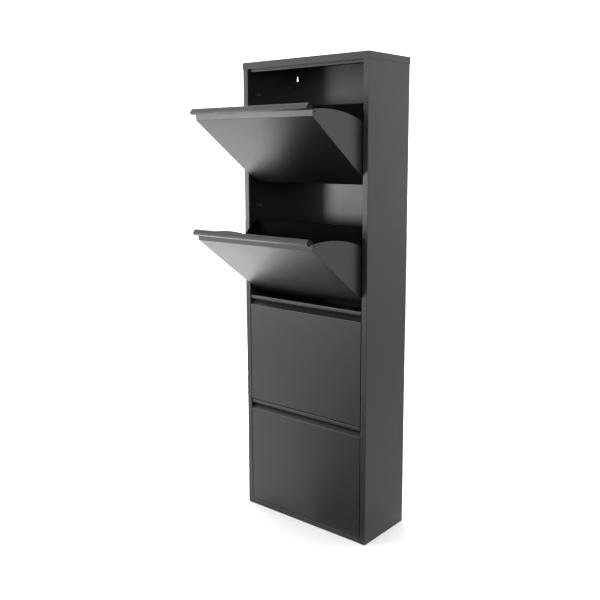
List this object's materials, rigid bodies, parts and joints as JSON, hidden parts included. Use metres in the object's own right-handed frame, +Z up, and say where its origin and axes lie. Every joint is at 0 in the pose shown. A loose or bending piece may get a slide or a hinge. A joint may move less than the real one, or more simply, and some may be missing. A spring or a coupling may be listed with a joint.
{
  "type": "shoe cabinet",
  "caption": "Tall narrow sheet-steel shoe cabinet with tilting flap trays, handle bars with finger grooves, side wings and keyholes for hanging it on a wall.",
  "frame": {"origin": "centre of the base plate's underside, on the floor", "axes": "+Z up; the flaps face -Y; +X is the right-hand side seen from the front"},
  "size_m": [0.45, 0.4295, 1.36],
  "materials": {
    "carcass_paint": "satin anthracite powder coat with a fine texture",
    "flap_paint": "satin anthracite powder coat with a fine texture",
    "black_plastic": "moulded, matt",
    "rubber": "matt black",
    "zinc_steel": "bright zinc plated"
  },
  "bodies": {
    "carcass": {"left_side_panel": "carcass_paint", "right_side_panel": "carcass_paint", "back_panel": "carcass_paint", "top_cap": "carcass_paint", "top_rail": "carcass_paint", "base_plate": "carcass_paint", "pivot_bushes": "black_plastic", "closing_stop_pegs": "rubber", "back_panel_screws": "zinc_steel"},
    "flap_1": {"flap_1_front_panel": "flap_paint", "flap_1_left_wing": "flap_paint", "flap_1_right_wing": "flap_paint", "flap_1_shoe_tray": "flap_paint", "flap_1_handle_bar": "flap_paint", "flap_1_handle_end_caps": "black_plastic", "flap_1_pivot_pins": "zinc_steel", "flap_1_stop_buffers": "rubber", "flap_1_tray_rivets": "flap_paint"},
    "flap_2": {"flap_2_front_panel": "flap_paint", "flap_2_left_wing": "flap_paint", "flap_2_right_wing": "flap_paint", "flap_2_shoe_tray": "flap_paint", "flap_2_handle_bar": "flap_paint", "flap_2_handle_end_caps": "black_plastic", "flap_2_pivot_pins": "zinc_steel", "flap_2_stop_buffers": "rubber", "flap_2_tray_rivets": "flap_paint"},
    "flap_3": {"flap_3_front_panel": "flap_paint", "flap_3_left_wing": "flap_paint", "flap_3_right_wing": "flap_paint", "flap_3_shoe_tray": "flap_paint", "flap_3_handle_bar": "flap_paint", "flap_3_handle_end_caps": "black_plastic", "flap_3_pivot_pins": "zinc_steel", "flap_3_stop_buffers": "rubber", "flap_3_tray_rivets": "flap_paint"},
    "flap_4": {"flap_4_front_panel": "flap_paint", "flap_4_left_wing": "flap_paint", "flap_4_right_wing": "flap_paint", "flap_4_shoe_tray": "flap_paint", "flap_4_handle_bar": "flap_paint", "flap_4_handle_end_caps": "black_plastic", "flap_4_pivot_pins": "zinc_steel", "flap_4_stop_buffers": "rubber", "flap_4_tray_rivets": "flap_paint"}
  },
  "joints": [
    {"name": "flap_1_tilt", "type": "hinge", "parent": "carcass", "child": "flap_1", "pos_m": [0, -0.093, 1.04], "axis": [1, 0, 0], "range_deg": [-54, 0]},
    {"name": "flap_2_tilt", "type": "hinge", "parent": "carcass", "child": "flap_2", "pos_m": [0, -0.093, 0.711], "axis": [1, 0, 0], "range_deg": [-54, 0]},
    {"name": "flap_3_tilt", "type": "hinge", "parent": "carcass", "child": "flap_3", "pos_m": [0, -0.093, 0.382], "axis": [1, 0, 0], "range_deg": [0, 54]},
    {"name": "flap_4_tilt", "type": "hinge", "parent": "carcass", "child": "flap_4", "pos_m": [0, -0.093, 0.053], "axis": [1, 0, 0], "range_deg": [0, 54]}
  ]
}
